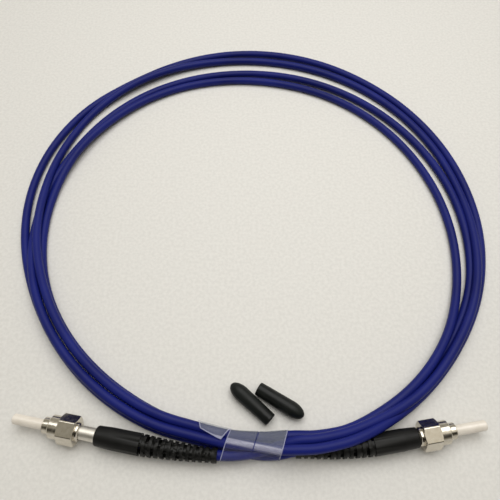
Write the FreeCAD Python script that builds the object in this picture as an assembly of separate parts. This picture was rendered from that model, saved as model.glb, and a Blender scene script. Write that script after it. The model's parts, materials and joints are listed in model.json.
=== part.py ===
# Fibre patch cable: a 2 m simplex jacketed fibre lead with a 3.175 mm ferrule
# connector on each end, wound into a four turn coil that is tied with clear film.
# Millimetres. X runs across the coil, Y away from the two connectors, Z up from
# the table. The origin lies on the table, under the middle of the box round the
# connectors, caps and film.
import math
import os

import FreeCAD
import Part

V = FreeCAD.Vector
os.makedirs("parts", exist_ok=True)

# Cable
jacket_d = 3.0
buffer_d = 0.9
core_d = 0.66
slip_gap = 0.05              # radial gap round a piece that is pushed over another

# Ferrule and connector body, measured back from the front face of the collar
ferrule_d = 3.175
ferrule_out = 9.8            # how far the ferrule stands out of the collar
ferrule_seat = 3.5           # length of the spigot by which it sits in the collar
ferrule_seat_d = 2.5
ferrule_chamfer = 0.35
collar_d = 4.9
collar_l = 2.2
shank_d = 4.2
shank_end = 16.85            # where the shank steps down to the crimp tail
shank_edge = 0.25
tail_d = 2.9
tail_l = 6.2
tail_groove = 0.1
tail_groove_pitch = 1.2

# Crimp sleeve and the strength yarn under it
yarn_wall = 0.2
sleeve_wall = 0.35
sleeve_over_jacket = 1.9
yarn_short = 0.8

# Coupling nut
nut_step_d = 7.0
nut_step_l = 3.1
nut_hex_af = 8.0
nut_hex_l = 5.25
nut_neck_d = 5.6
nut_neck_l = 0.9
nut_thread_d = 5.9
nut_thread_l = 6.6
nut_hex_chamfer = 25.0       # degrees, the turned lead at both ends of the hexagon
nut_lead_in = 0.3
nut_bore_gap = 0.1

# Spring ring that lets the nut turn and slide on the shank
ring_wall = 0.4
ring_t = 0.6
ring_grip_gap = 0.03
ring_groove_gap = 0.1
ring_from_rear = 1.6         # rear face of the nut to the rear face of the ring
ring_mouth = 60.0            # degrees left open in the ring

# Strain relief boot
boot_front_d = 6.0
boot_back_d = 6.5
boot_smooth_l = 13.8
boot_nose_r = 0.6
boot_swell_l = 5.0           # from the nose to where the boot has its full width
boot_socket_l = 13.6         # depth of the wide bore over the shank and sleeve
rib_count = 11
rib_pitch = 1.87
rib_w = 1.0
rib_first_d = 6.3
rib_last_d = 4.4
rib_depth = 0.42
boot_end_l = 2.4
slot_w = 2.4                 # width of the slot cut across the boot in each gap
slot_bite = 0.06             # how far the slot runs into the ribs on both sides

# Where the two connectors lie: the tilt of the axis from X, how far behind the
# collar face the boot starts, and how far its ribbed part bends. Each nut lies on
# an edge of its hexagon, turned a little from flat, and carries its connector
nut_turn = 9.0
axis_z = nut_hex_af / math.sqrt(3) * math.cos(math.radians(30 - nut_turn))
boots_apart = 23.2           # distance in X between the rear ends of the two boots
boots_mid_x = 2.23
end_a_y = -1.14              # Y of the collar face
end_a_tilt = 10.8
end_a_boot = 16.35
end_a_bend = 6.4
end_b_y = -2.81
end_b_tilt = 9.3
end_b_boot = 11.55
end_b_bend = 11.0

# Ferrule caps, taken off and lying on the table
cap_open_d = 4.3
cap_wide_d = 4.9
cap_l = 16.4
cap_nose_l = 4.6
cap_bore_d = 3.0
cap_bore_l = 12.5
cap_lip_r = 0.2
cap_1_open = (6.6, 0.58)
cap_1_heading = 138.2        # degrees from X, from the open end to the nose
cap_2_open = (2.9, 10.28)
cap_2_heading = -32.0

# Coil, as the plain outer shape that its turns fill
coil_x = 0.3
coil_out_r = 87.3
coil_in_r = 73.3
coil_near_y = -11.2          # outer edge of the turns at the near side
coil_near_w = 7.9            # width of the turns there
coil_near_h = 6.2
coil_far_h = 4.2
coil_over_h = 9.9            # top of the turns where they ride over boot b
coil_crest_l = 18.6          # length of that crest
coil_rise_l = 6.0            # lengths of the slopes up to it and down from it
coil_fall_l = 26.0
coil_near_depth = 43.5       # depth in Y of the blocks that shape the near side
coil_cut_h = 28.0            # height of the blocks that cut right through the coil
coil_boot_gap = 0.3

# Tied waist of the coil and the film round it
waist_d = 7.6
waist_y = -7.02
waist_off_a = 0.35           # from the rear of each boot to the waist between them
waist_off_b = 1.82
waist_left_run = 7.6         # how far the waist goes on into the turns at each end
waist_right_run = 1.9
film_t = 0.15
film_off_a = 2.25            # from the rear of each boot to the film's edge on the waist's crown
film_off_b = 3.52
film_slant = 18.0            # degrees that the edges lean from straight across
film_seam_w = 0.25
film_seam_depth = 0.06
film_tail_l = 7.6            # how far the loose end sticks out to the left
film_tail_w = 2.2
film_block = 60.8            # side of the blocks that trim the film to its slanted edges
film_tail_grip = 0.8         # how far the tail is still part of the first band
film_tail_from = (42.0, 75.0)    # degrees round the waist between which the tail leaves it


def cylinder(d, x0, x1):
    low, high = min(x0, x1), max(x0, x1)
    return Part.makeCylinder(d / 2, high - low, V(low, 0, 0), V(1, 0, 0))


def frustum(d0, d1, x0, x1):
    return Part.makeCone(d0 / 2, d1 / 2, abs(x1 - x0), V(x0, 0, 0), V(x1 - x0, 0, 0))


def revolved(points):
    """A solid turned about X from (x, radius) points that start and end on the axis."""
    wire = Part.makePolygon([V(x, r, 0) for x, r in points] + [V(*points[0], 0)])
    return Part.Face(wire).revolve(V(0, 0, 0), V(1, 0, 0), 360)


def write(name, shape):
    solids = shape.Solids
    body = solids[0] if len(solids) == 1 else Part.makeCompound(solids)
    body.exportStep("parts/" + name + ".step")
    print(name, "volume", round(body.Volume, 2), "solids", len(solids), body.isValid())


# Connector pieces, built along X with the ferrule pointing to +X and the front
# face of the collar at x = 0

def ferrule():
    rod = cylinder(ferrule_d, 0, ferrule_out - ferrule_chamfer)
    rod = rod.fuse(cylinder(ferrule_seat_d, -ferrule_seat, 0))
    tip = frustum(ferrule_d, ferrule_d - 2 * ferrule_chamfer, ferrule_out - ferrule_chamfer, ferrule_out)
    return rod.fuse(tip).cut(cylinder(core_d, -ferrule_seat, ferrule_out)).removeSplitter()


def fibre():
    core = cylinder(core_d, -ferrule_seat, ferrule_out)
    buffer = cylinder(buffer_d, -shank_end - tail_l, -ferrule_seat)
    return core.fuse(buffer)


def connector_body():
    """Collar, shank and crimp tail, turned from one bar."""
    tail_end = -shank_end - tail_l
    profile = [
        (tail_end, 0),
        (tail_end, tail_d / 2),
        (-shank_end, tail_d / 2),
        (-shank_end, shank_d / 2 - shank_edge),
        (-shank_end + shank_edge, shank_d / 2),
        (-collar_l, shank_d / 2),
        (-collar_l, collar_d / 2 - shank_edge),
        (-collar_l + shank_edge, collar_d / 2),
        (-shank_edge, collar_d / 2),
        (0, collar_d / 2 - shank_edge),
        (0, 0),
    ]
    body = revolved(profile)
    grooves = int((tail_l - tail_groove_pitch) / tail_groove_pitch)
    for i in range(grooves):
        x = tail_end + tail_groove_pitch * (i + 1)
        ring = cylinder(tail_d + 1, x, x + tail_groove_pitch / 2)
        body = body.cut(ring.cut(cylinder(tail_d - 2 * tail_groove, x - 1, x + tail_groove_pitch)))
    body = body.cut(cylinder(ferrule_seat_d, -ferrule_seat, 0))
    return body.cut(cylinder(buffer_d, tail_end, -ferrule_seat))


def yarn_skirt():
    """Strength yarn of the cable, fanned back over the tail under the sleeve."""
    front = -shank_end - yarn_short
    back = -shank_end - tail_l
    outer = cylinder(tail_d + 2 * yarn_wall, back, front)
    return outer.cut(cylinder(tail_d, back, front))


def crimp_sleeve():
    """Tube pressed down on the yarn in front and on the jacket behind."""
    front = -shank_end
    step = -shank_end - tail_l
    back = step - sleeve_over_jacket
    yarn_d = tail_d + 2 * yarn_wall
    wide = cylinder(yarn_d + 2 * sleeve_wall, step, front).cut(cylinder(yarn_d, step, front))
    narrow = cylinder(jacket_d + 2 * sleeve_wall, back, step).cut(cylinder(jacket_d, back, step))
    return wide.fuse(narrow).removeSplitter()


def nut_hexagon(front, back):
    radius = nut_hex_af / math.sqrt(3)
    corners = [V(back, radius * math.cos(math.radians(60 * i)), radius * math.sin(math.radians(60 * i)))
               for i in range(7)]
    prism = Part.Face(Part.makePolygon(corners)).extrude(V(front - back, 0, 0))
    run = (radius - nut_hex_af / 2) * math.tan(math.radians(nut_hex_chamfer))
    lead = [(back, 0), (back, nut_hex_af / 2), (back + run, radius), (front - run, radius),
            (front, nut_hex_af / 2), (front, 0)]
    return prism.common(revolved(lead))


def coupling_nut(turn):
    """Nut with a turned front step, a hexagon and a rear neck, bored for thread and shank."""
    front = -collar_l
    step_back = front - nut_step_l
    hex_back = step_back - nut_hex_l
    rear = hex_back - nut_neck_l
    step = frustum(nut_step_d, nut_step_d - 2 * nut_lead_in, front - nut_lead_in, front)
    step = step.fuse(cylinder(nut_step_d, step_back, front - nut_lead_in))
    neck = cylinder(nut_neck_d, rear + nut_lead_in, hex_back)
    neck = neck.fuse(frustum(nut_neck_d - 2 * nut_lead_in, nut_neck_d, rear, rear + nut_lead_in))
    nut = step.fuse([nut_hexagon(step_back, hex_back), neck]).removeSplitter()
    thread_back = front - nut_thread_l
    nut = nut.cut(cylinder(nut_thread_d, thread_back, front))
    nut = nut.cut(frustum(nut_thread_d + 2 * nut_lead_in, nut_thread_d, front, front - nut_lead_in))
    nut = nut.cut(cylinder(shank_d + 2 * nut_bore_gap, rear, thread_back))
    groove_back = rear + ring_from_rear - slip_gap
    groove_front = rear + ring_from_rear + ring_t + slip_gap
    groove_d = shank_d + 2 * (ring_grip_gap + ring_wall + ring_groove_gap)
    nut = nut.cut(cylinder(groove_d, groove_back, groove_front))
    nut.rotate(V(0, 0, 0), V(1, 0, 0), turn)
    return nut


def spring_ring():
    """Open wire ring that sits in the nut's groove and grips the shank."""
    rear = -collar_l - nut_step_l - nut_hex_l - nut_neck_l
    back = rear + ring_from_rear
    bore = shank_d + 2 * ring_grip_gap
    ring = cylinder(bore + 2 * ring_wall, back, back + ring_t).cut(cylinder(bore, back, back + ring_t))
    reach = bore
    half = math.radians(ring_mouth / 2)
    wedge = Part.makePolygon([V(back, 0, 0), V(back, -reach * math.sin(half), -reach * math.cos(half)),
                              V(back, reach * math.sin(half), -reach * math.cos(half)), V(back, 0, 0)])
    return ring.cut(Part.Face(wedge).extrude(V(ring_t, 0, 0)))


# Strain relief boot. Its ribbed part bends in the plane of the table along an
# arc, and bend is the angle of that arc, positive to the left of the axis

def ribbed_length():
    return rib_count * rib_pitch + boot_end_l


def on_bend(start, bend, run):
    """Placement of a station on the boot's axis, run behind the smooth part."""
    if run <= 0:
        return FreeCAD.Placement(V(start - run, 0, 0), FreeCAD.Rotation())
    radius = ribbed_length() / math.radians(abs(bend))
    turn = run / radius
    side = math.copysign(1, bend)
    place = V(start - radius * math.sin(turn), -side * radius * (1 - math.cos(turn)), 0)
    return FreeCAD.Placement(place, FreeCAD.Rotation(V(0, 0, 1), math.degrees(turn) * side))


def bend_wire(front, start, bend, beyond):
    """Axis from the point front, ahead of start, round to a little beyond the boot's rear end."""
    length = ribbed_length() + beyond
    middle = on_bend(start, bend, length / 2).Base
    end = on_bend(start, bend, length).Base
    run = Part.LineSegment(V(front, 0, 0), V(start, 0, 0)).toShape()
    arc = Part.Arc(V(start, 0, 0), middle, end).toShape()
    return Part.Wire([run, arc])


def placement(rear_x, y, heading, boot_from, bend):
    """Place of a connector whose collar face is at y and whose boot ends at rear_x."""
    turn = FreeCAD.Rotation(V(0, 0, 1), heading)
    rear = turn.multVec(on_bend(-boot_from - boot_smooth_l, bend, ribbed_length()).Base)
    return FreeCAD.Placement(V(rear_x - rear.x, y, axis_z), turn)


rear_a = boots_mid_x - boots_apart / 2
rear_b = boots_mid_x + boots_apart / 2
place_a = placement(rear_a, end_a_y, 180 - end_a_tilt, end_a_boot, end_a_bend)
place_b = placement(rear_b, end_b_y, end_b_tilt, end_b_boot, -end_b_bend)
waist_from = rear_a + waist_off_a
waist_to = rear_b - waist_off_b
film_left = rear_a + film_off_a
film_right = rear_b - film_off_b
film_seam = (film_left + film_right) / 2


def pipe(d, wire, at):
    circle = Part.Wire([Part.Circle(at, V(1, 0, 0), d / 2).toShape()])
    return wire.makePipeShell([circle], True, False)


def boot_shell(front):
    """The smooth front of the boot, with a rounded nose and a slight swell."""
    back = front - boot_smooth_l
    nose = boot_nose_r
    r_front, r_back = boot_front_d / 2, boot_back_d / 2
    corner = nose * (1 - math.sqrt(0.5))
    edges = [
        Part.LineSegment(V(back, 0, 0), V(back, r_back, 0)),
        Part.LineSegment(V(back, r_back, 0), V(front - boot_swell_l, r_back, 0)),
        Part.LineSegment(V(front - boot_swell_l, r_back, 0), V(front - nose, r_front, 0)),
        Part.Arc(V(front - nose, r_front, 0), V(front - corner, r_front - corner, 0),
                 V(front, r_front - nose, 0)),
        Part.LineSegment(V(front, r_front - nose, 0), V(front, 0, 0)),
        Part.LineSegment(V(front, 0, 0), V(back, 0, 0)),
    ]
    face = Part.Face(Part.Wire([e.toShape() for e in edges]))
    return face.revolve(V(0, 0, 0), V(1, 0, 0), 360)


def rib_diameter(i):
    return rib_first_d + (rib_last_d - rib_first_d) * i / (rib_count - 1)


def gap_slot(i, start, bend):
    """Slot right across the gap ahead of rib i, square to the slot before it."""
    reach = rib_diameter(i) + 1
    size = (slot_w, reach) if i % 2 else (reach, slot_w)
    length = rib_pitch - rib_w + 2 * slot_bite
    slot = Part.makeBox(length, size[0], size[1], V(-length / 2, -size[0] / 2, -size[1] / 2))
    slot.Placement = on_bend(start, bend, i * rib_pitch + (rib_pitch - rib_w) / 2)
    return slot


def strain_boot(front, bend):
    """Moulded boot: a smooth sleeve, ribs with crossed slots between them, an end ring."""
    start = front - boot_smooth_l
    gap = rib_pitch - rib_w
    pieces, slots = [], []
    for i in range(rib_count):
        neck = cylinder(rib_diameter(i) - 2 * rib_depth, -gap - rib_w / 2, rib_w / 2)
        neck.Placement = on_bend(start, bend, i * rib_pitch)
        rib = cylinder(rib_diameter(i), -rib_w, 0)
        rib.Placement = on_bend(start, bend, i * rib_pitch + gap)
        pieces += [neck, rib]
        slots.append(gap_slot(i, start, bend))
    end_ring_l = boot_end_l - gap
    neck = cylinder(rib_last_d - 2 * rib_depth, -boot_end_l / 2, rib_w / 2)
    neck.Placement = on_bend(start, bend, rib_count * rib_pitch)
    end_ring = cylinder(rib_last_d, -end_ring_l, 0)
    end_ring.Placement = on_bend(start, bend, ribbed_length() - end_ring_l)
    boot = boot_shell(front).fuse(pieces + [neck, end_ring]).cut(slots)
    mouth = front + boot_nose_r
    bore = pipe(jacket_d + 2 * slip_gap, bend_wire(mouth, start, bend, boot_nose_r), V(mouth, 0, 0))
    return boot.cut(bore).cut(cylinder(shank_d + 2 * slip_gap, front - boot_socket_l, mouth))


def cable_lead(front, bend):
    """Jacket from the crimp tail through the boot to the coil."""
    start = front - boot_smooth_l
    jacket_from = -shank_end - tail_l
    wire = bend_wire(jacket_from, start, bend, coil_boot_gap)
    radius = ribbed_length() / math.radians(abs(bend))
    print("lead radii", [round(radius, 1)], "length", round(wire.Length, 1))
    lead = pipe(jacket_d, wire, V(jacket_from, 0, 0))
    print("lead volume against section times length",
          round(lead.Volume / (math.pi * jacket_d ** 2 / 4 * wire.Length), 4))
    return lead


def placed(shape, place):
    shape.Placement = place.multiply(shape.Placement)
    return shape


def connector(name, place, boot_from, bend, turn):
    pieces = {
        "ferrule": ferrule(),
        "fibre": fibre(),
        "connector_body": connector_body(),
        "yarn_skirt": yarn_skirt(),
        "crimp_sleeve": crimp_sleeve(),
        "coupling_nut": coupling_nut(turn),
        "spring_ring": spring_ring(),
        "strain_boot": strain_boot(-boot_from, bend),
    }
    for piece, shape in pieces.items():
        write(piece + "_" + name, placed(shape, place))


# Rubber caps

def ferrule_cap():
    """Cap along X, open at x = 0, widening to a domed nose."""
    wide_at = cap_l - cap_nose_l
    lip = cap_lip_r
    nose = Part.Ellipse(V(cap_l, 0, 0), V(wide_at, cap_wide_d / 2, 0), V(wide_at, 0, 0))
    dome = Part.ArcOfEllipse(nose, 0, math.pi / 2)
    ends = [dome.StartPoint, dome.EndPoint]
    crown = max(ends, key=lambda p: abs(p.y))
    edges = [
        Part.LineSegment(V(0, 0, 0), V(0, cap_open_d / 2 - lip, 0)).toShape(),
        Part.LineSegment(V(0, cap_open_d / 2 - lip, 0), V(lip, cap_open_d / 2, 0)).toShape(),
        Part.LineSegment(V(lip, cap_open_d / 2, 0), crown).toShape(),
        dome.toShape(),
        Part.LineSegment(V(cap_l, 0, 0), V(0, 0, 0)).toShape(),
    ]
    cap = Part.Face(Part.Wire(edges)).revolve(V(0, 0, 0), V(1, 0, 0), 360)
    bore = cylinder(cap_bore_d, 0, cap_bore_l)
    bore = bore.fuse(Part.makeSphere(cap_bore_d / 2, V(cap_bore_l, 0, 0)))
    return cap.cut(bore)


def cap_lean():
    """Angle at which the tapered cap lies on its flank."""
    run = cap_l - cap_nose_l - cap_lip_r
    return math.degrees(math.atan2((cap_wide_d - cap_open_d) / 2, run))


def lying_cap(open_xy, heading):
    cap = ferrule_cap()
    lean = FreeCAD.Rotation(V(0, 1, 0), -cap_lean())
    turn = FreeCAD.Rotation(V(0, 0, 1), heading)
    cap.Placement = FreeCAD.Placement(V(0, 0, 0), turn.multiply(lean))
    lowest = cap.optimalBoundingBox(True, True).ZMin
    cap.translate(V(open_xy[0], open_xy[1], -lowest))
    return cap


# Coil and the film that ties it

def coil_ring():
    top = coil_over_h + 1
    outer = Part.makeCylinder(coil_out_r, top, V(coil_x, coil_near_y + coil_out_r, 0))
    inner = Part.makeCylinder(coil_in_r, top + 2, V(coil_x, coil_near_y + coil_near_w + coil_in_r, -1))
    return outer.cut(inner)


def coil_roof():
    """Space below the top of the turns: it falls away from the waist, with a hump over boot b."""
    near = coil_near_y
    far = coil_near_y + 2 * coil_out_r
    left = coil_x - coil_out_r
    side = Part.makePolygon([V(left, near, 0), V(left, far, 0), V(left, far, coil_far_h),
                             V(left, near, coil_near_h), V(left, near, 0)])
    slope = Part.Face(side).extrude(V(2 * coil_out_r, 0, 0))
    crest_to = waist_to + ribbed_length()
    crest_from = crest_to - coil_crest_l
    rise_from = crest_from - coil_rise_l
    fall_to = crest_to + coil_fall_l
    hump = Part.makePolygon([V(rise_from, near, 0), V(rise_from, near, coil_near_h),
                             V(crest_from, near, coil_over_h), V(crest_to, near, coil_over_h),
                             V(fall_to, near, coil_far_h), V(fall_to, near, 0), V(rise_from, near, 0)])
    over = Part.Face(hump).extrude(V(0, coil_near_depth, 0))
    return slope.fuse(over)


def boot_room(front, bend, place, height):
    """Room kept clear round a boot, from below the table up to height."""
    start = front - boot_smooth_l
    wide = boot_back_d / 2 + coil_boot_gap
    narrow = rib_last_d / 2 + coil_boot_gap
    left = [V(front + boot_smooth_l, wide, 0), V(start, wide, 0)]
    right = [V(front + boot_smooth_l, -wide, 0), V(start, -wide, 0)]
    steps = 4
    length = ribbed_length() + coil_boot_gap
    for i in range(1, steps + 1):
        half = wide + (narrow - wide) * i / steps
        at = on_bend(start, bend, length * i / steps)
        left.append(at.multVec(V(0, half, 0)))
        right.append(at.multVec(V(0, -half, 0)))
    outline = Part.makePolygon(left + right[::-1] + [left[0]])
    room = Part.Face(outline).extrude(V(0, 0, height + axis_z))
    room.translate(V(0, 0, -2 * axis_z))
    return placed(room, place)


def waist_z():
    """Height of the waist's axis: the film under it lies on the table."""
    return waist_d / 2 + slip_gap + film_t


def along_waist(d, x0, x1):
    return Part.makeCylinder(d / 2, x1 - x0, V(x0, waist_y, waist_z()), V(1, 0, 0))


def cable_coil(place_a, place_b):
    turns = coil_ring().common(coil_roof())
    pause = Part.makeBox(waist_to - waist_from, coil_near_depth, coil_cut_h,
                         V(waist_from, coil_near_y - 1, -1))
    waist = along_waist(waist_d, waist_from - waist_left_run, waist_to + waist_right_run)
    coil = turns.cut(pause).fuse(waist)
    coil = coil.cut(boot_room(-end_a_boot, end_a_bend, place_a, coil_cut_h))
    over_boot = axis_z + boot_back_d / 2 + coil_boot_gap
    return coil.cut(boot_room(-end_b_boot, -end_b_bend, place_b, over_boot))


def slanted(x):
    """A tall block that lies right of the slanted edge at x."""
    block = Part.makeBox(film_block, 2 * film_block, 2 * film_block, V(0, -film_block, -film_block))
    block.rotate(V(0, 0, 0), V(0, 0, 1), -film_slant)
    block.translate(V(x, waist_y, waist_z()))
    return block


def film_tail(bore_d):
    """Loose end of the film, from inside the first band out to the left."""
    lower, upper = [math.radians(a) for a in film_tail_from]
    radius = bore_d / 2 + film_t / 2
    half = film_t / 2
    root = []
    for angle in (lower, upper):
        across = radius * math.cos(angle)
        edge = film_left + across * math.tan(math.radians(film_slant))
        root.append(V(edge + film_tail_grip, waist_y + across, waist_z() + radius * math.sin(angle)))
    top = waist_z() + radius * math.sin(upper)
    out = waist_y + radius * math.cos(lower)
    tip = film_left - film_tail_l
    end = [V(tip, out + film_tail_w, top), V(tip, out, top + film_t)]
    sections = []
    for pair in (root, end):
        ring = [pair[0] - V(0, 0, half), pair[1] - V(0, 0, half), pair[1] + V(0, 0, half),
                pair[0] + V(0, 0, half)]
        sections.append(Part.makePolygon(ring + [ring[0]]))
    return Part.makeLoft(sections, True, True)


def film_wrap():
    """Clear film wound twice round the waist, with its loose end lying to the left."""
    bore_d = waist_d + 2 * slip_gap
    outer_d = bore_d + 2 * film_t
    shell = along_waist(outer_d, waist_from - waist_d, waist_to + waist_d)
    bands = shell.common(slanted(film_left)).cut(slanted(film_right))
    seam = slanted(film_seam - film_seam_w / 2).cut(slanted(film_seam + film_seam_w / 2))
    floor_of_seam = along_waist(outer_d - 2 * film_seam_depth, waist_from - waist_d, waist_to + waist_d)
    bands = bands.cut(seam.common(shell).cut(floor_of_seam))
    bands = bands.fuse(film_tail(bore_d))
    return bands.cut(along_waist(bore_d, waist_from - 2 * waist_d, waist_to + 2 * waist_d))


connector("a", place_a, end_a_boot, end_a_bend, -nut_turn)
connector("b", place_b, end_b_boot, -end_b_bend, nut_turn)
write("ferrule_cap_1", lying_cap(cap_1_open, cap_1_heading))
write("ferrule_cap_2", lying_cap(cap_2_open, cap_2_heading))
write("cable_lead_a", placed(cable_lead(-end_a_boot, end_a_bend), place_a))
write("cable_lead_b", placed(cable_lead(-end_b_boot, -end_b_bend), place_b))
write("cable_coil", cable_coil(place_a, place_b))
write("tape_wrap", film_wrap())
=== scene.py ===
import json
import math

import bmesh
import bpy
from mathutils import Matrix, Vector


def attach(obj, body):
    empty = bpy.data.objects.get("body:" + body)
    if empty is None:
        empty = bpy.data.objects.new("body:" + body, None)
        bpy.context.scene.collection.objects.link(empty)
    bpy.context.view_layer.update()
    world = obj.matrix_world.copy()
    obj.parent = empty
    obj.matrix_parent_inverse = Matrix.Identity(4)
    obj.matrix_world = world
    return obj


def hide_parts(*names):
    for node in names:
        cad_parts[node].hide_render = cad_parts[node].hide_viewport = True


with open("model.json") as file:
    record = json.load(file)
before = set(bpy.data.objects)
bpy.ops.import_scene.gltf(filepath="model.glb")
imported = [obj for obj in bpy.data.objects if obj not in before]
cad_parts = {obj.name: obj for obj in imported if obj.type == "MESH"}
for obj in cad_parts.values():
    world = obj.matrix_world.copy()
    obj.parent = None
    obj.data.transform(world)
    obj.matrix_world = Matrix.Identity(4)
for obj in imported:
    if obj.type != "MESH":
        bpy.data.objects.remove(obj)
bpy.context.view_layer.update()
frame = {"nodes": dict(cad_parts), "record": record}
nodes = frame["nodes"]

# Table, lamps and camera. The cable was photographed from above on a pale
# worktop, with soft light from above and a little behind the coil's middle.

MM = 0.001


def linear(code):
    """An sRGB hex colour as the linear colour that a shader wants."""
    parts = [int(code[i:i + 2], 16) / 255 for i in (1, 3, 5)]
    return [c / 12.92 if c <= 0.04045 else ((c + 0.055) / 1.055) ** 2.4 for c in parts] + [1.0]


def new_material(name):
    """A material with only its shader, ready for more nodes."""
    material = bpy.data.materials.new(name)
    material.use_nodes = True
    shader = material.node_tree.nodes["Principled BSDF"]
    return material, material.node_tree, shader


def add_node(tree, kind, links=None, stops=(), **settings):
    """Adds a node; links maps an input to a value or to another node's output, and
    stops are the places and colours of a colour ramp, from low to high."""
    new = tree.nodes.new("ShaderNode" + kind)
    for key, value in settings.items():
        setattr(new, key, value)
    for key, value in (links or {}).items():
        if isinstance(value, bpy.types.NodeSocket):
            tree.links.new(value, new.inputs[key])
        else:
            new.inputs[key].default_value = value
    if stops:
        marks = new.color_ramp.elements
        marks[0].position, marks[0].color = stops[0]
        marks[1].position, marks[1].color = stops[-1]
        for position, colour in stops[1:-1]:
            marks.new(position).color = colour
    return new


# Melamine laminate pressed against a matt plate, so it is dull and pale, with faint
# flecks of about a millimetre.
laminate, tree, shader = new_material("matt_laminate")
place = add_node(tree, "TexCoord").outputs["Object"]
flecks = add_node(tree, "TexNoise", {"Vector": place, "Scale": 1 / (1.11 * MM), "Detail": 2.0})
tint = add_node(tree, "ValToRGB", {"Fac": flecks.outputs["Fac"]},
                ((0.35, linear("#CFCDC8")), (0.65, linear("#D7D5D0")))).outputs["Color"]
tree.links.new(tint, shader.inputs["Base Color"])
shader.inputs["Roughness"].default_value = 0.6

bpy.ops.object.select_all(action="DESELECT")
bpy.ops.mesh.primitive_plane_add(size=6.0, location=(0, 0, 0))
table = bpy.context.object
table.name = "table"
table.data.materials.append(laminate)

# Pale walls, a lighter ceiling panel a little to the right of straight up, and in
# front a black flag, which gives the plated pieces their dark lines.
world = bpy.data.worlds.new("studio")
bpy.context.scene.world = world
world.use_nodes = True
room = world.node_tree
ray = add_node(room, "TexCoord").outputs["Generated"]
up = add_node(room, "SeparateXYZ", {"Vector": ray}).outputs["Z"]
walls = add_node(room, "ValToRGB", {"Fac": up},
                 ((0.1, linear("#D6D4D1")), (0.3, linear("#A29E93")))).outputs["Color"]
sides = add_node(room, "VectorMath", {0: ray, 1: (0.25, 0, 0.97)}, operation="DOT_PRODUCT")
panel = add_node(room, "MapRange", {"Value": sides.outputs["Value"], "From Min": 0.88,
                                    "From Max": 0.98})
ceiling = add_node(room, "MixRGB", {"Fac": panel.outputs["Result"], "Color1": walls,
                                    "Color2": linear("#F2ECDE")})
FLAG_UP = math.radians(46)
ahead = add_node(room, "VectorMath", {0: ray, 1: (0, -math.cos(FLAG_UP), math.sin(FLAG_UP))},
                 operation="DOT_PRODUCT")
flag = add_node(room, "MapRange", {"Value": ahead.outputs["Value"], "From Min": 0.8,
                                   "From Max": 0.87})
backdrop = add_node(room, "MixRGB", {"Fac": flag.outputs["Result"],
                                     "Color1": ceiling.outputs["Color"],
                                     "Color2": linear("#14110E")})
room.links.new(backdrop.outputs["Color"], room.nodes["Background"].inputs["Color"])

# A square lamp over the coil, aimed at its rear half.
LAMP_AT, LAMP_AIM = (0.03, 0.18, 0.37), (0, 0.13, 0)
lamp = bpy.data.lights.new("lamp_above", "AREA")
lamp.shape = "SQUARE"
lamp.size = 0.4
lamp.energy = 1.2
lamp_above = bpy.data.objects.new("lamp_above", lamp)
bpy.context.scene.collection.objects.link(lamp_above)
lamp_above.location = LAMP_AT
lamp_above.rotation_euler = (Vector(LAMP_AIM) - Vector(LAMP_AT)).to_track_quat("-Z", "Y").to_euler()
lamp_above.visible_camera = False

# Even light from a wide sky, which the plated pieces don't mirror.
sky = bpy.data.lights.new("skylight", "SUN")
sky.energy = 0.7
sky.angle = math.radians(70)
skylight = bpy.data.objects.new("skylight", sky)
skylight.visible_glossy = False
bpy.context.scene.collection.objects.link(skylight)

# The camera sees the near side of the coil from about 62 degrees up. Its focal
# length is in the frame's pixels, and its places are in millimetres.
FOCAL_PX, FRAME_PX = 512, 500
CAMERA_AT, CAMERA_AIM = (0.3, -27.92, 165.3), (0.3, 61.08, 0)
lens = bpy.data.cameras.new("camera")
lens.sensor_width = 36.0
lens.lens = lens.sensor_width * FOCAL_PX / FRAME_PX
lens.clip_start = 0.005
lens.clip_end = 20.0
camera = bpy.data.objects.new("camera", lens)
bpy.context.scene.collection.objects.link(camera)
camera.location = [c * MM for c in CAMERA_AT]
sight = Vector([c * MM for c in CAMERA_AIM]) - camera.location
camera.rotation_euler = sight.to_track_quat("-Z", "Y").to_euler()
bpy.context.scene.camera = camera
bpy.context.scene.view_settings.view_transform = "Standard"

# Cable: 3 mm jacket of soft blue PVC, extruded over aramid yarn and the fibre's
# buffer. It is one length, wound by hand into four turns that cross each other,
# with both ends brought out at the near side.

JACKET_R = 1.5
COIL_X, COIL_Y = 0.3, 76.08

# Degrees round the coil from its near point, counter-clockwise seen from above.
turn_angles = [22.5 + 15 * i for i in range(22)]
# How far each turn lies from the coil's centre there, and how high its middle is.
turn_first = [(84.7, 6.6), (86.3, 4.6), (85.0, 4.3), (84.4, 4.1), (82.4, 3.2), (81.2, 1.5),
              (80.7, 1.5), (80.45, 1.5), (80.5, 1.5), (80.7, 1.5), (81.0, 1.5),
              (81.7, 1.5), (82.4, 2.45), (82.4, 3.6), (83.3, 1.5), (81.5, 1.5), (78.6, 4.3),
              (78.4, 4.0), (77.5, 4.5), (77.9, 4.5), (78.5, 4.4), (79.3, 4.4)]
turn_second = [(83.8, 3.8), (83.4, 4.5), (81.4, 3.9), (78.3, 1.5), (75.1, 1.5), (72.4, 1.5),
               (70.4, 1.5), (69.2, 1.5), (68.6, 1.5), (68.35, 1.5), (68.5, 1.5),
               (69.6, 1.5), (71.2, 1.5), (72.4, 2.0), (73.3, 2.6), (74.5, 3.6), (75.9, 1.7),
               (76.8, 1.5), (77.6, 1.5), (77.7, 1.5), (77.85, 1.5), (78.7, 1.5)]
turn_third = [(85.4, 1.5), (83.9, 1.5), (83.2, 1.5), (82.85, 1.5), (80.5, 1.5), (78.2, 1.5),
              (76.1, 1.5), (74.5, 1.5), (73.6, 1.5), (73.2, 1.5), (73.1, 1.5),
              (73.5, 1.5), (74.4, 1.5), (75.4, 1.5), (76.0, 1.5), (76.6, 1.5), (78.8, 1.5),
              (80.3, 1.7), (80.8, 4.3), (81.2, 4.4), (81.7, 4.4), (82.4, 4.5)]
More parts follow.
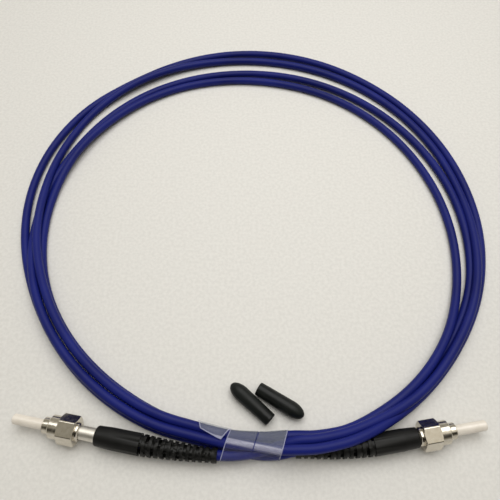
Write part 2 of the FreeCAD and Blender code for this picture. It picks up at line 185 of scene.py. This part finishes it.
turn_fourth = [(87.4, 8.1), (86.9, 1.6), (86.1, 1.5), (85.9, 1.5), (85.2, 1.5), (84.3, 1.5),
               (83.9, 1.5), (83.85, 1.5), (84.1, 1.5), (85.1, 1.5), (85.8, 1.5),
               (86.0, 1.5), (85.3, 1.5), (84.5, 1.5), (86.4, 1.5), (86.4, 1.5), (85.2, 1.5),
               (83.4, 1.5), (81.8, 1.5), (81.6, 1.5), (82.3, 1.5), (82.9, 1.5)]

# The strands of the tied waist, each from left to right: X, Y and height.
out_of_boot_a = [(-39.1, -5.46, 4.31), (-32.4, -6.73, 4.31), (-25, -7.98, 4.31),
                 (-17.2, -9.05, 4.31), (-9.2, -9.75, 4.31), (-4.7, -9.92, 4.4),
                 (0.3, -9.42, 4.6), (5.3, -8.32, 4.6), (9.3, -7.02, 5.1), (14.1, -5.82, 6.9),
                 (20.9, -5.62, 7.2)]
first_to_second = [(-13.7, -2.22, 4.4), (-9.2, -3.42, 4.5), (-4.7, -4.32, 4.5), (0.3, -4.62, 4.5),
                   (5.3, -4.72, 4.4), (9.3, -4.42, 4.3), (14.1, -4.12, 4.2), (20.9, -4.32, 4.4)]
second_to_third = [(-13.7, -2.92, 1.55), (-9.2, -4.22, 1.6), (-4.7, -5.32, 1.65),
                   (0.3, -5.72, 1.65), (5.3, -5.82, 1.65), (9.3, -5.62, 1.6), (14.1, -5.22, 1.55),
                   (20.9, -5.12, 1.5)]
third_to_fourth = [(-13.7, -5.02, 4.6), (-9.2, -6.12, 5.2), (-4.7, -6.92, 6.3), (0.3, -7.32, 6.7),
                   (5.3, -8.12, 7.4), (9.3, -8.72, 7.8), (14.1, -8.72, 8.2), (20.9, -8.52, 8.4)]
into_boot_b = [(-13.7, -5.62, 1.55), (-9.2, -7.22, 1.6), (-4.7, -8.52, 1.65), (0.3, -9.02, 1.65),
               (5.3, -9.52, 1.8), (9.3, -9.42, 2.9), (14.1, -8.42, 4.31), (19.6, -8.43, 4.31),
               (25.5, -8.18, 4.31), (31.3, -7.65, 4.31), (37.04, -6.85, 4.31), (38.98, -6.53, 4.31)]


def wound(turn):
    """Points of one turn, moved out a little because the smooth line cuts inside them:
    at each it takes six eighths of that point and one of each neighbour."""
    step = math.radians(turn_angles[1] - turn_angles[0])
    swell = 8 / (6 + 2 * math.cos(step))
    points = []
    for degrees, (radius, height) in zip(turn_angles, turn):
        angle = math.radians(degrees)
        reach = radius * swell
        points.append((COIL_X + reach * math.sin(angle), COIL_Y - reach * math.cos(angle), height))
    return points


route = (out_of_boot_a + wound(turn_first) + first_to_second + wound(turn_second)
         + second_to_third + wound(turn_third) + third_to_fourth + wound(turn_fourth)
         + into_boot_b)

line = bpy.data.curves.new("cable", "CURVE")
line.dimensions = "3D"
line.bevel_depth = JACKET_R * MM
line.bevel_resolution = 8
line.resolution_u = 8
line.use_fill_caps = True
spline = line.splines.new("NURBS")
spline.points.add(len(route) - 1)
for point, (x, y, z) in zip(spline.points, route):
    point.co = (x * MM, y * MM, z * MM, 1.0)
spline.order_u = 3
spline.use_endpoint_u = True
cable = bpy.data.objects.new("cable", line)
bpy.context.scene.collection.objects.link(cable)


def grey(level):
    """A roughness as a ramp's colour."""
    return (level,) * 3 + (1,)


# Soft PVC straight from the die: satin, with a slight unevenness of colour over
# 18 mm, duller where it was handled. Its fine grain of some hundredths of a
# millimetre is drawn at 0.4 mm, or it wouldn't show.
pvc, tree, shader = new_material("extruded_blue_pvc")
place = add_node(tree, "TexCoord").outputs["Object"]
cloudy = add_node(tree, "TexNoise", {"Vector": place, "Scale": 1 / (18.2 * MM), "Detail": 4.0})
tint = add_node(tree, "ValToRGB", {"Fac": cloudy.outputs["Fac"]},
                ((0.3, linear("#10175A")), (0.7, linear("#161F6C")))).outputs["Color"]
tree.links.new(tint, shader.inputs["Base Color"])
dull = add_node(tree, "ValToRGB", {"Fac": cloudy.outputs["Fac"]},
                ((0.35, grey(0.4)), (0.7, grey(0.5)))).outputs["Color"]
tree.links.new(dull, shader.inputs["Roughness"])
grain = add_node(tree, "TexNoise", {"Vector": place, "Scale": 1 / (0.385 * MM), "Detail": 3.0})
bump = add_node(tree, "Bump", {"Height": grain.outputs["Fac"], "Strength": 0.12,
                               "Distance": 0.05 * MM})
tree.links.new(bump.outputs["Normal"], shader.inputs["Normal"])
shader.inputs["Specular IOR Level"].default_value = 0.17
line.materials.append(pvc)

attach(cable, "root")
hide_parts("cable_coil", "cable_lead_a", "cable_lead_b")

# Ferrules: zirconia rods, sintered and ground, so matt and off-white with a faint
# warm cast. Each is pressed into the collar of its connector body.

# Ground ceramic: matt and even, with a cloudiness over 2.5 mm that is hardly seen.
zirconia, tree, shader = new_material("ground_zirconia")
place = add_node(tree, "TexCoord").outputs["Object"]
cloudy = add_node(tree, "TexNoise", {"Vector": place, "Scale": 1 / (2.5 * MM), "Detail": 4.0})
tint = add_node(tree, "ValToRGB", {"Fac": cloudy.outputs["Fac"]},
                ((0.3, linear("#D9D0C2")), (0.7, linear("#E6DED2")))).outputs["Color"]
tree.links.new(tint, shader.inputs["Base Color"])
shader.inputs["Roughness"].default_value = 0.38
shader.inputs["IOR"].default_value = 2.1

# An edge that is longer and sharper than this is rounded by its own, larger width.
LONG_EDGE, STEEP = 3 * MM, math.radians(50)
piece_body = {name: body for body, names in frame["record"]["behaviour"]["bodies"].items()
              for name in names}


def dressed(node, name, material, edge, rounded=0):
    """A copy of a CAD piece with welded faces, softened edges and smooth shading."""
    mesh = nodes[node].data.copy()
    piece = bpy.data.objects.new(name, mesh)
    bpy.context.scene.collection.objects.link(piece)
    bpy.ops.object.select_all(action="DESELECT")
    piece.select_set(True)
    bpy.context.view_layer.objects.active = piece
    bpy.ops.object.mode_set(mode="EDIT")
    bpy.ops.mesh.select_all(action="SELECT")
    bpy.ops.mesh.remove_doubles(threshold=0.001 * MM)
    bpy.ops.mesh.dissolve_limited(angle_limit=math.radians(0.5))
    if rounded:
        bpy.ops.mesh.select_mode(type="EDGE")
        bpy.ops.mesh.select_all(action="DESELECT")
        shell = bmesh.from_edit_mesh(mesh)
        for crest in shell.edges:
            if crest.calc_length() > LONG_EDGE and crest.calc_face_angle() > STEEP:
                crest.select_set(True)
        bmesh.update_edit_mesh(mesh)
        bpy.ops.mesh.bevel(offset=rounded * MM, segments=3, clamp_overlap=False)
    bpy.ops.object.mode_set(mode="OBJECT")
    soften = piece.modifiers.new("edge", "BEVEL")
    soften.width = edge * MM
    soften.segments = 3
    soften.limit_method = "ANGLE"
    soften.angle_limit = math.radians(35)
    bpy.ops.object.modifier_apply(modifier=soften.name)
    bpy.ops.object.shade_smooth_by_angle(angle=math.radians(28))
    level = piece.modifiers.new("flat_faces", "WEIGHTED_NORMAL")
    level.keep_sharp = True
    bpy.ops.object.modifier_apply(modifier=level.name)
    mesh.materials.clear()
    mesh.materials.append(material)
    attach(piece, piece_body[node])
    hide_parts(node)
    return piece


for end in "ab":
    dressed("ferrule_" + end, "ground_ferrule_" + end, zirconia, 0.05)

# Connector bodies and coupling nuts: free-cutting brass turned on a lathe and
# bright nickel plated. The hexagons are milled from bar.

# Bright plating over turned brass mirrors the room, slightly warm, with a cloudiness
# over 1.4 mm.
nickel, tree, shader = new_material("bright_nickel_plate")
place = add_node(tree, "TexCoord").outputs["Object"]
cloudy = add_node(tree, "TexNoise", {"Vector": place, "Scale": 1 / (1.43 * MM), "Detail": 5.0})
tint = add_node(tree, "ValToRGB", {"Fac": cloudy.outputs["Fac"]},
                ((0.3, linear("#C9C2B4")), (0.7, linear("#D8D2C6")))).outputs["Color"]
tree.links.new(tint, shader.inputs["Base Color"])
gloss = add_node(tree, "ValToRGB", {"Fac": cloudy.outputs["Fac"]},
                 ((0.35, grey(0.14)), (0.75, grey(0.26)))).outputs["Color"]
tree.links.new(gloss, shader.inputs["Roughness"])
shader.inputs["Metallic"].default_value = 1.0

# The shank is left as it came off the lathe. Its rings are too fine to be drawn one by
# one, and make it satin, with a cloudiness over 1.7 mm.
satin, tree, shader = new_material("turned_nickel_plate")
place = add_node(tree, "TexCoord").outputs["Object"]
cloudy = add_node(tree, "TexNoise", {"Vector": place, "Scale": 1 / (1.67 * MM), "Detail": 4.0})
tint = add_node(tree, "ValToRGB", {"Fac": cloudy.outputs["Fac"]},
                ((0.3, linear("#DDD8CE")), (0.7, linear("#E9E5DC")))).outputs["Color"]
tree.links.new(tint, shader.inputs["Base Color"])
gloss = add_node(tree, "ValToRGB", {"Fac": cloudy.outputs["Fac"]},
                 ((0.35, grey(0.42)), (0.75, grey(0.5)))).outputs["Color"]
tree.links.new(gloss, shader.inputs["Roughness"])
shader.inputs["Metallic"].default_value = 1.0

# Front face of the collars along X, and how much of each body keeps the bright plate.
COLLAR_X, COLLAR_L = 61.74, 2.3
for end in "ab":
    body = dressed("connector_body_" + end, "plated_body_" + end, nickel, 0.06)
    body.data.materials.append(satin)
    for face in body.data.polygons:
        if abs(face.center.x) < (COLLAR_X - COLLAR_L) * MM:
            face.material_index = 1
    dressed("coupling_nut_" + end, "plated_nut_" + end, nickel, 0.12, rounded=0.38)

# Strain relief boots: black thermoplastic rubber, moulded in one piece, with
# crossed slots between the ribs so that the tail bends with the cable.

# Rubber from a spark-eroded mould: black and satin, uneven over 5.6 mm. Its grain of
# some hundredths of a millimetre is drawn at 0.3 mm, or it wouldn't show.
rubber, tree, shader = new_material("moulded_black_rubber")
place = add_node(tree, "TexCoord").outputs["Object"]
cloudy = add_node(tree, "TexNoise", {"Vector": place, "Scale": 1 / (5.56 * MM), "Detail": 4.0})
tint = add_node(tree, "ValToRGB", {"Fac": cloudy.outputs["Fac"]},
                ((0.3, linear("#0D0D0C")), (0.7, linear("#131312")))).outputs["Color"]
tree.links.new(tint, shader.inputs["Base Color"])
gloss = add_node(tree, "ValToRGB", {"Fac": cloudy.outputs["Fac"]},
                 ((0.35, grey(0.38)), (0.7, grey(0.5)))).outputs["Color"]
tree.links.new(gloss, shader.inputs["Roughness"])
grain = add_node(tree, "TexNoise", {"Vector": place, "Scale": 1 / (0.286 * MM), "Detail": 2.0})
bump = add_node(tree, "Bump", {"Height": grain.outputs["Fac"], "Strength": 0.2,
                               "Distance": 0.03 * MM})
tree.links.new(bump.outputs["Normal"], shader.inputs["Normal"])
shader.inputs["Specular IOR Level"].default_value = 0.24

# Lengths of the smooth front and the ribbed tail, and the turn of the slots.
BOOT_SMOOTH, BOOT_RIBBED = 13.8, 22.97
BOOT_ROLL = math.radians(45)
# Black tube round the cable that fills the bottom of the slots as painted shade: its radius,
# thickness and number of steps along.
SHADE_LINER_R, SHADE_LINER_T, SHADE_LINER_STEPS = 1.62, 0.09, 24
# Each boot: front face of its collar, heading in degrees, how far behind that face
# the boot starts, and how many degrees its tail bends.
boots = {"a": ((-61.742, -1.14, 4.312), 169.2, 16.35, 6.4),
         "b": ((61.731, -2.81, 4.312), 9.3, 11.55, -11.0)}


def rolled(piece, base, heading, boot_from, bend):
    """Turns a boot about its own axis, which is straight at first and then an arc."""
    turn = Matrix.Rotation(math.radians(heading), 4, "Z")
    to_world = Matrix.Translation(Vector(base)) @ turn
    to_local = to_world.inverted()
    start = -boot_from - BOOT_SMOOTH
    radius = BOOT_RIBBED / math.radians(abs(bend))
    side = math.copysign(1, bend)
    for vertex in piece.data.vertices:
        point = to_local @ (vertex.co / MM)
        angle = math.atan2(max(start - point.x, 0), radius + side * point.y)
        if angle:
            axis_point = Vector((start - radius * math.sin(angle),
                                 side * radius * (math.cos(angle) - 1), 0))
        else:
            axis_point = Vector((point.x, 0, 0))
        along = Vector((math.cos(angle), side * math.sin(angle), 0))
        point = axis_point + Matrix.Rotation(BOOT_ROLL, 3, along) @ (point - axis_point)
        vertex.co = (to_world @ point) * MM


def boot_shade_liner(name, replaced, base, heading, boot_from, bend):
    """A black tube round the cable at the bottom of a boot's slots, put there as painted shade."""
    to_world = Matrix.Translation(Vector(base)) @ Matrix.Rotation(math.radians(heading), 4, "Z")
    radius = BOOT_RIBBED / math.radians(abs(bend))
    tube = bpy.data.curves.new(name, "CURVE")
    tube.dimensions = "3D"
    tube.bevel_depth = SHADE_LINER_R * MM
    tube.bevel_resolution = 6
    spline = tube.splines.new("POLY")
    spline.points.add(SHADE_LINER_STEPS)
    for i, point in enumerate(spline.points):
        # It starts and ends just inside the boot.
        angle = math.radians(abs(bend)) * (0.002 + 0.99 * i / SHADE_LINER_STEPS)
        at = to_world @ Vector((-boot_from - BOOT_SMOOTH - radius * math.sin(angle),
                                math.copysign(radius, bend) * (math.cos(angle) - 1), 0))
        point.co = (*(at * MM), 1.0)
    dark_liner = bpy.data.objects.new(name, tube)
    bpy.context.scene.collection.objects.link(dark_liner)
    bpy.ops.object.select_all(action="DESELECT")
    dark_liner.select_set(True)
    bpy.context.view_layer.objects.active = dark_liner
    bpy.ops.object.convert(target="MESH")
    dark_liner = bpy.context.object
    wall = dark_liner.modifiers.new("wall", "SOLIDIFY")
    wall.thickness = SHADE_LINER_T * MM
    wall.offset = -1
    bpy.ops.object.modifier_apply(modifier=wall.name)
    bpy.ops.object.shade_smooth_by_angle(angle=math.radians(40))
    dark_liner.data.materials.clear()
    dark_liner.data.materials.append(rubber)
    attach(dark_liner, "root")
    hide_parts(replaced)


for end, lie in boots.items():
    boot_shade_liner("boot_shade_liner_" + end, "strain_boot_" + end, *lie)
for end, lie in boots.items():
    boot = dressed("strain_boot_" + end, "moulded_boot_" + end, rubber, 0.07)
    rolled(boot, *lie)

# Ferrule caps: soft black rubber, dip moulded. They keep dust off the ferrules, and
# were pulled off and laid inside the coil.

# Dipped rubber: seamless and slightly glossy, with a faint unevenness over 4.5 mm.
cap_rubber, tree, shader = new_material("soft_cap_rubber")
place = add_node(tree, "TexCoord").outputs["Object"]
cloudy = add_node(tree, "TexNoise", {"Vector": place, "Scale": 1 / (4.55 * MM), "Detail": 4.0})
tint = add_node(tree, "ValToRGB", {"Fac": cloudy.outputs["Fac"]},
                ((0.3, linear("#0D0F0E")), (0.7, linear("#151816")))).outputs["Color"]
tree.links.new(tint, shader.inputs["Base Color"])
gloss = add_node(tree, "ValToRGB", {"Fac": cloudy.outputs["Fac"]},
                 ((0.35, grey(0.36)), (0.7, grey(0.48)))).outputs["Color"]
tree.links.new(gloss, shader.inputs["Roughness"])
shader.inputs["Specular IOR Level"].default_value = 0.24

for number in "12":
    dressed("ferrule_cap_" + number, "rubber_cap_" + number, cap_rubber, 0.06)

# Film: clear polypropylene packing film, wound twice round the five strands side
# by side in two slanted bands, with its loose end sticking out to the left.

# Clearance over the strands, and a thickness above the real 0.05 mm, so that its cut
# edges show. The bands slant about the waist's middle line.
FILM_OFF, FILM_T = 0.22, 0.12
FILM_LEAN = math.tan(math.radians(18))
WAIST_Y, WAIST_FRONT, WAIST_REAR = -7.02, -10.5, -3
# Steps round the strands.
AROUND = 120
film_strands = [out_of_boot_a,
                wound(turn_first)[-1:] + first_to_second,
                wound(turn_second)[-1:] + second_to_third,
                wound(turn_third)[-1:] + third_to_fourth,
                wound(turn_fourth)[-1:] + into_boot_b]


def strand_at(points, x):
    """Y and height of a strand of the waist where it passes x."""
    ahead = [p for p in points if p[0] <= x][-1]
    behind = [p for p in points if p[0] > x][0]
    share = (x - ahead[0]) / (behind[0] - ahead[0])
    return [a + (b - a) * share for a, b in zip(ahead[1:], behind[1:])]


def taut_outline(x):
    """Line that a taut film follows round the strands at x, from the rear over the top."""
    middles = [strand_at(points, x) for points in film_strands]
    reach = JACKET_R + FILM_OFF
    outline = []
    for i in range(361):
        angle = math.radians(i)
        y, z = max(middles, key=lambda m: m[0] * math.cos(angle) + m[1] * math.sin(angle))
        outline.append(Vector((y + reach * math.cos(angle), z + reach * math.sin(angle))))
    return outline


def walked(outline, length):
    """Point of an outline that lies length along it."""
    for a, b in zip(outline, outline[1:]):
        run = (b - a).length
        if run and length <= run:
            return a.lerp(b, length / run)
        length -= run
    return outline[-1]


# Drawn polypropylene: clear and shiny, milky where it lies in folds, with wrinkles of 2 mm. Across
# the waist its colour and veil are painted light: a painted highlight where it bridges two strands,
# and a painted reflection that veils it more towards the rear.
film, tree, shader = new_material("clear_polypropylene_film")
place = add_node(tree, "TexCoord").outputs["Object"]
cloudy = add_node(tree, "TexNoise", {"Vector": place, "Scale": 1 / (2.0 * MM), "Detail": 3.0})
across = add_node(tree, "VectorMath", {0: place, 1: (0.22, 1, 0)}, operation="DOT_PRODUCT")
depth = add_node(tree, "MapRange", {"Value": across.outputs["Value"],
                                    "From Min": WAIST_FRONT * MM, "From Max": WAIST_REAR * MM})
# Places across the waist from front to rear, with the film's colour and how much it hides. Between
# 0.34 and 0.5, where it bridges two strands, a paler and more hiding band is a painted highlight.
# The greyer veil behind it is a painted reflection, and the front is left nearly clear.
painted_film_light_stops = [(0, "#8080A0", "#2A2A2A"), (0.26, "#8080A0", "#303030"),
               (0.34, "#BEBED4", "#909090"), (0.5, "#C2C2D6", "#9A9A9A"),
               (0.55, "#82879E", "#6E6E6E"), (1, "#81868F", "#8C8C8C")]
painted_film_colour = add_node(tree, "ValToRGB", {"Fac": depth.outputs["Result"]},
               [(at, linear(colour)) for at, colour, hides in painted_film_light_stops])
painted_film_veil = add_node(tree, "ValToRGB", {"Fac": depth.outputs["Result"]},
                 [(at, linear(hides)) for at, colour, hides in painted_film_light_stops])
tree.links.new(painted_film_colour.outputs["Color"], shader.inputs["Base Color"])
veil = add_node(tree, "Math", {0: cloudy.outputs["Fac"], 1: 0.1, 2: painted_film_veil.outputs["Color"]},
                operation="MULTIPLY_ADD")
tree.links.new(veil.outputs["Value"], shader.inputs["Alpha"])
shader.inputs["Roughness"].default_value = 0.3
shader.inputs["Specular IOR Level"].default_value = 0.8

# The cut edges of the film are cloudy, and are painted paler still as a painted highlight along
# them.
film_edge, tree, shader = new_material("film_cut_edge")
shader.inputs["Base Color"].default_value = linear("#B8BAD4")
shader.inputs["Roughness"].default_value = 0.35
shader.inputs["Alpha"].default_value = 0.38


def film_sheet(name, rows, rims):
    """A film piece from rows of points in millimetres, given its thickness. The
    faces between the rows and columns named in rims are cut edges."""
    shell = bmesh.new()
    grid = [[shell.verts.new(Vector(p) * MM) for p in row] for row in rows]
    for a, b in zip(grid, grid[1:]):
        for k in range(len(a) - 1):
            face = shell.faces.new((a[k], a[k + 1], b[k + 1], b[k]))
            face.material_index = int(grid.index(a) in rims[0] or k in rims[1])
    bmesh.ops.remove_doubles(shell, verts=shell.verts, dist=0.002 * MM)
    mesh = bpy.data.meshes.new(name)
    shell.to_mesh(mesh)
    shell.free()
    mesh.materials.append(film)
    mesh.materials.append(film_edge)
    piece = bpy.data.objects.new(name, mesh)
    bpy.context.scene.collection.objects.link(piece)
    bpy.ops.object.select_all(action="DESELECT")
    piece.select_set(True)
    bpy.context.view_layer.objects.active = piece
    thicken = piece.modifiers.new("thickness", "SOLIDIFY")
    thicken.thickness = FILM_T * MM
    thicken.offset = -1
    thicken.material_offset_rim = 1
    bpy.ops.object.modifier_apply(modifier=thicken.name)
    bpy.ops.object.shade_smooth_by_angle(angle=math.radians(50))
    return piece


outlines = {x: taut_outline(x) for x in range(-18, 16)}


def film_point(x, length):
    """Point of the film at x, length along its way round the strands from the rear."""
    low = math.floor(x)
    a, b = walked(outlines[low], length), walked(outlines[low + 1], length)
    y, z = a.lerp(b, x - low)
    return x, y, max(z, FILM_T + 0.03)


# Left and right edge of each band along X. Only their outer edges look cut.
film_parts = []
for number, (left, right) in enumerate([(-7.1, 1.5), (1.8, 10.3)]):
    rows = []
    for share in [0, 0.03] + [i / 16 for i in range(1, 16)] + [0.97, 1]:
        base = left + (right - left) * share
        outline = outlines[round(base)]
        girth = sum((b - a).length for a, b in zip(outline, outline[1:]))
        row = []
        for k in range(AROUND + 1):
            x = base
            for _ in range(2):
                point = film_point(x, girth * k / AROUND)
                x = base + (point[1] - WAIST_Y) * FILM_LEAN
            row.append(point)
        rows.append(row)
    film_parts.append(film_sheet("film_band_%d" % (number + 1), rows,
                                 ({number * (len(rows) - 2)}, ())))

# Corners of the loose end: X, and how far round the strands from the rear.
tail_rear = [(-15.4, 0.2), (-4.9, 0.0)]
tail_front = [(-14.5, 3.2), (-8.2, 5.0)]
# How far it lies off the band, and how far its front corners curl up.
TAIL_OFF, TAIL_CURL_LEFT, TAIL_CURL_RIGHT = 0.16, 0.75, 0.3
TAIL_ROWS, TAIL_STEPS = 12, 24
rows = []
for i in range(TAIL_ROWS + 1):
    v = i / TAIL_ROWS
    row = []
    for k in range(TAIL_STEPS + 1):
        u = k / TAIL_STEPS
        rear = [a + (b - a) * u for a, b in zip(*tail_rear)]
        front = [a + (b - a) * u for a, b in zip(*tail_front)]
        x, length = [a + (b - a) * v for a, b in zip(rear, front)]
        x, y, z = film_point(x, length)
        lift = TAIL_OFF + (TAIL_CURL_LEFT * (1 - u) + TAIL_CURL_RIGHT * u) * v * v
        row.append((x, y + 0.1 * (1 - v), z + lift))
    rows.append(row)
film_parts.append(film_sheet("film_tail", rows, ({TAIL_ROWS - 1}, {0, TAIL_STEPS - 1})))

for band in film_parts:
    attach(band, "root")
    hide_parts("tape_wrap")

# Pieces inside the connector, seen only when it is taken apart or through a slot:
# glass fibre and its buffer, aramid yarn, brass crimp sleeve and spring ring.

# Drawn glass in a clear buffer: pale, smooth and glossy, a little cloudy over 1.1 mm.
glass, tree, shader = new_material("buffered_glass_fibre")
place = add_node(tree, "TexCoord").outputs["Object"]
cloudy = add_node(tree, "TexNoise", {"Vector": place, "Scale": 1 / (1.11 * MM), "Detail": 2.0})
tint = add_node(tree, "ValToRGB", {"Fac": cloudy.outputs["Fac"]},
                ((0.3, linear("#CFD6D8")), (0.7, linear("#E3E8E9")))).outputs["Color"]
tree.links.new(tint, shader.inputs["Base Color"])
shader.inputs["Roughness"].default_value = 0.15

# Twisted aramid: yellow and soft, with threads 0.35 mm apart. A wave texture repeats
# every pi / 10 of its scale.
WAVE_STEP = math.pi / 10
yarn, tree, shader = new_material("aramid_yarn")
place = add_node(tree, "TexCoord").outputs["Object"]
threads = add_node(tree, "TexWave", {"Vector": place, "Scale": WAVE_STEP / (0.349 * MM),
                                   "Distortion": 2.0})
tint = add_node(tree, "ValToRGB", {"Fac": threads.outputs["Color"]},
                ((0.2, linear("#B08A2A")), (0.8, linear("#D9B44C")))).outputs["Color"]
tree.links.new(tint, shader.inputs["Base Color"])
shader.inputs["Roughness"].default_value = 0.6

# Drawn spring wire: grey and smooth, with marks of the die 0.5 mm long.
spring, tree, shader = new_material("spring_steel")
place = add_node(tree, "TexCoord").outputs["Object"]
drawn = add_node(tree, "TexNoise", {"Vector": place, "Scale": 1 / (0.5 * MM), "Detail": 2.0})
tint = add_node(tree, "ValToRGB", {"Fac": drawn.outputs["Fac"]},
                ((0.3, linear("#8E8C88")), (0.7, linear("#A5A39E")))).outputs["Color"]
tree.links.new(tint, shader.inputs["Base Color"])
shader.inputs["Metallic"].default_value = 1.0
shader.inputs["Roughness"].default_value = 0.3

for end in "ab":
    for node, material in (("fibre_", glass), ("yarn_skirt_", yarn), ("crimp_sleeve_", nickel),
                           ("spring_ring_", spring)):
        mesh = nodes[node + end].data
        mesh.materials.clear()
        mesh.materials.append(material)
